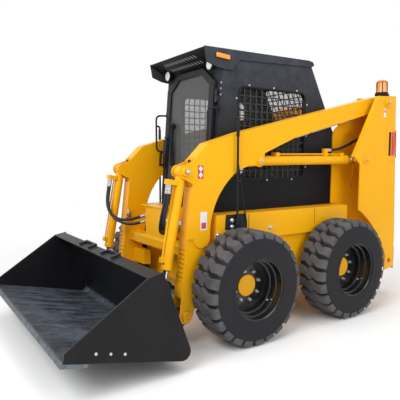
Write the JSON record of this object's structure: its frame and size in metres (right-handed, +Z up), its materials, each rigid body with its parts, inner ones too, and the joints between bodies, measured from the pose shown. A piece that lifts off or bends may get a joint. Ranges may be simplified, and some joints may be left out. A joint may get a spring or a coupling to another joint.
{
  "type": "skid steer loader",
  "caption": "Compact wheeled skid steer loader with radial lift arms, front bucket, enclosed cab with guarded windows and chunky tyres.",
  "frame": {"origin": "on the ground under the middle of the overall length and width", "axes": "-Y to the machine's front, +X to its left, +Z up"},
  "size_m": [1.696, 3.158, 2.0224],
  "materials": {
    "yellow_paint": "semi-gloss",
    "black_paint": "semi-gloss",
    "cab_paint": "satin",
    "rim_paint": "semi-gloss",
    "cast_metal": "matte",
    "rod_chrome": "polished",
    "tyre_rubber": "matte",
    "hose_rubber": "matte",
    "window_glass": "clear",
    "seat_cover": "matte",
    "console_plastic": "matte",
    "amber_plastic": "translucent",
    "red_plastic": "translucent",
    "lamp_plastic": "clear"
  },
  "bodies": {
    "machine": {"chassis": "yellow_paint", "engine_block": "cast_metal", "axle_tubes": "black_paint", "tower_inner": "yellow_paint", "tower_outer": "yellow_paint", "tower_backs": "yellow_paint", "rear_bumper": "yellow_paint", "cab_frame": "cab_paint", "cab_sides": "cab_paint", "cab_rear": "cab_paint", "cab_roof": "cab_paint", "cab_floor": "black_paint", "cab_glass": "window_glass", "window_mesh": "black_paint", "operator_station": "console_plastic", "seat_cushion": "seat_cover", "seat_back": "seat_cover", "work_lamps": "lamp_plastic", "marker_lamps": "amber_plastic", "tail_lamps": "red_plastic", "beacon": "amber_plastic", "rails": "black_paint", "lid_hinges": "black_paint"},
    "boom": {"boom_arms": "yellow_paint", "cross_beam": "yellow_paint", "hose_tilt_inner_left": "hose_rubber", "hose_tilt_inner_right": "hose_rubber", "hose_tilt_outer_left": "hose_rubber", "hose_tilt_outer_right": "hose_rubber"},
    "lift_barrel_left": {"lift_barrel_left": "yellow_paint", "hose_lift_left": "hose_rubber"},
    "lift_rod_left": {"lift_rod_left": "rod_chrome"},
    "tilt_barrel_left": {"tilt_barrel_left": "yellow_paint"},
    "tilt_rod_left": {"tilt_rod_left": "rod_chrome"},
    "lift_barrel_right": {"lift_barrel_right": "yellow_paint", "hose_lift_right": "hose_rubber"},
    "lift_rod_right": {"lift_rod_right": "rod_chrome"},
    "tilt_barrel_right": {"tilt_barrel_right": "yellow_paint"},
    "tilt_rod_right": {"tilt_rod_right": "rod_chrome"},
    "bucket": {"bucket_shell": "black_paint", "cutting_edge": "black_paint", "quick_hitch": "black_paint"},
    "wheel_front_left": {"rim_front_left": "rim_paint", "tyre_front_left": "tyre_rubber"},
    "wheel_front_right": {"rim_front_right": "rim_paint", "tyre_front_right": "tyre_rubber"},
    "wheel_rear_left": {"rim_rear_left": "rim_paint", "tyre_rear_left": "tyre_rubber"},
    "wheel_rear_right": {"rim_rear_right": "rim_paint", "tyre_rear_right": "tyre_rubber"},
    "cab_door": {"door_frame": "black_paint", "door_glass": "window_glass", "door_fittings": "black_paint"},
    "hood": {"engine_hood": "yellow_paint"},
    "back_door": {"rear_door": "yellow_paint"}
  },
  "joints": [
    {"name": "boom_lift", "type": "hinge", "parent": "machine", "child": "boom", "pos_m": [0, 1.342, 1.724], "axis": [-1, 0, 0], "range_deg": [0, 62]},
    {"name": "bucket_tilt", "type": "hinge", "parent": "boom", "child": "bucket", "pos_m": [0, -0.64, 0.202], "axis": [1, 0, 0], "range_deg": [-8, 113]},
    {"name": "cab_door_hinge", "type": "hinge", "parent": "machine", "child": "cab_door", "pos_m": [0.34, -0.33994, 0.8635], "axis": [0, 0.075, 0.9972], "range_deg": [0, 90]},
    {"name": "hood_hinge", "type": "hinge", "parent": "machine", "child": "hood", "pos_m": [0, 0.972, 1.258], "axis": [1, 0, 0], "range_deg": [0, 60]},
    {"name": "rear_door_hinge", "type": "hinge", "parent": "machine", "child": "back_door", "pos_m": [0.352, 1.482, 0.835], "axis": [0, 0, -1], "range_deg": [0, 90]},
    {"name": "lift_barrel_pin_left", "type": "hinge", "parent": "boom", "child": "lift_barrel_left", "pos_m": [0.47, -0.02, 1.23], "axis": [1, 0, 0], "range_deg": [-0.5, 1]},
    {"name": "lift_stroke_left", "type": "slide", "parent": "lift_barrel_left", "child": "lift_rod_left", "axis": [0, 1, 0.0073], "range_m": [0, 0.58]},
    {"name": "tilt_barrel_pin_left", "type": "hinge", "parent": "boom", "child": "tilt_barrel_left", "pos_m": [0.47, -0.648, 1.159], "axis": [1, 0, 0], "range_deg": [-0.5, 3.6]},
    {"name": "tilt_stroke_left", "type": "slide", "parent": "tilt_barrel_left", "child": "tilt_rod_left", "axis": [0, -0.1803, -0.9836], "range_m": [-0.033, 0.445]},
    {"name": "lift_barrel_pin_right", "type": "hinge", "parent": "boom", "child": "lift_barrel_right", "pos_m": [-0.47, -0.02, 1.23], "axis": [1, 0, 0], "range_deg": [-0.5, 1]},
    {"name": "lift_stroke_right", "type": "slide", "parent": "lift_barrel_right", "child": "lift_rod_right", "axis": [0, 1, 0.0073], "range_m": [0, 0.58]},
    {"name": "tilt_barrel_pin_right", "type": "hinge", "parent": "boom", "child": "tilt_barrel_right", "pos_m": [-0.47, -0.648, 1.159], "axis": [1, 0, 0], "range_deg": [-0.5, 3.6]},
    {"name": "tilt_stroke_right", "type": "slide", "parent": "tilt_barrel_right", "child": "tilt_rod_right", "axis": [0, -0.1803, -0.9836], "range_m": [-0.033, 0.445]},
    {"name": "spin_front_left", "type": "hinge", "parent": "machine", "child": "wheel_front_left", "pos_m": [0.667, -0.2425, 0.3865], "axis": [1, 0, 0], "continuous": true},
    {"name": "spin_front_right", "type": "hinge", "parent": "machine", "child": "wheel_front_right", "pos_m": [-0.667, -0.2425, 0.3865], "axis": [1, 0, 0], "continuous": true},
    {"name": "spin_rear_left", "type": "hinge", "parent": "machine", "child": "wheel_rear_left", "pos_m": [0.667, 0.7425, 0.3865], "axis": [1, 0, 0], "continuous": true},
    {"name": "spin_rear_right", "type": "hinge", "parent": "machine", "child": "wheel_rear_right", "pos_m": [-0.667, 0.7425, 0.3865], "axis": [1, 0, 0], "continuous": true}
  ],
  "couplings": [
    {"joint": "lift_barrel_pin_left", "follows": "boom_lift", "ratio": 0.0079},
    {"joint": "lift_stroke_left", "follows": "boom_lift", "m_per_rad": 0.5296},
    {"joint": "tilt_barrel_pin_left", "follows": "bucket_tilt", "ratio": 0.0298},
    {"joint": "tilt_stroke_left", "follows": "bucket_tilt", "m_per_rad": 0.2239},
    {"joint": "lift_barrel_pin_right", "follows": "boom_lift", "ratio": 0.0079},
    {"joint": "lift_stroke_right", "follows": "boom_lift", "m_per_rad": 0.5296},
    {"joint": "tilt_barrel_pin_right", "follows": "bucket_tilt", "ratio": 0.0298},
    {"joint": "tilt_stroke_right", "follows": "bucket_tilt", "m_per_rad": 0.2239}
  ]
}
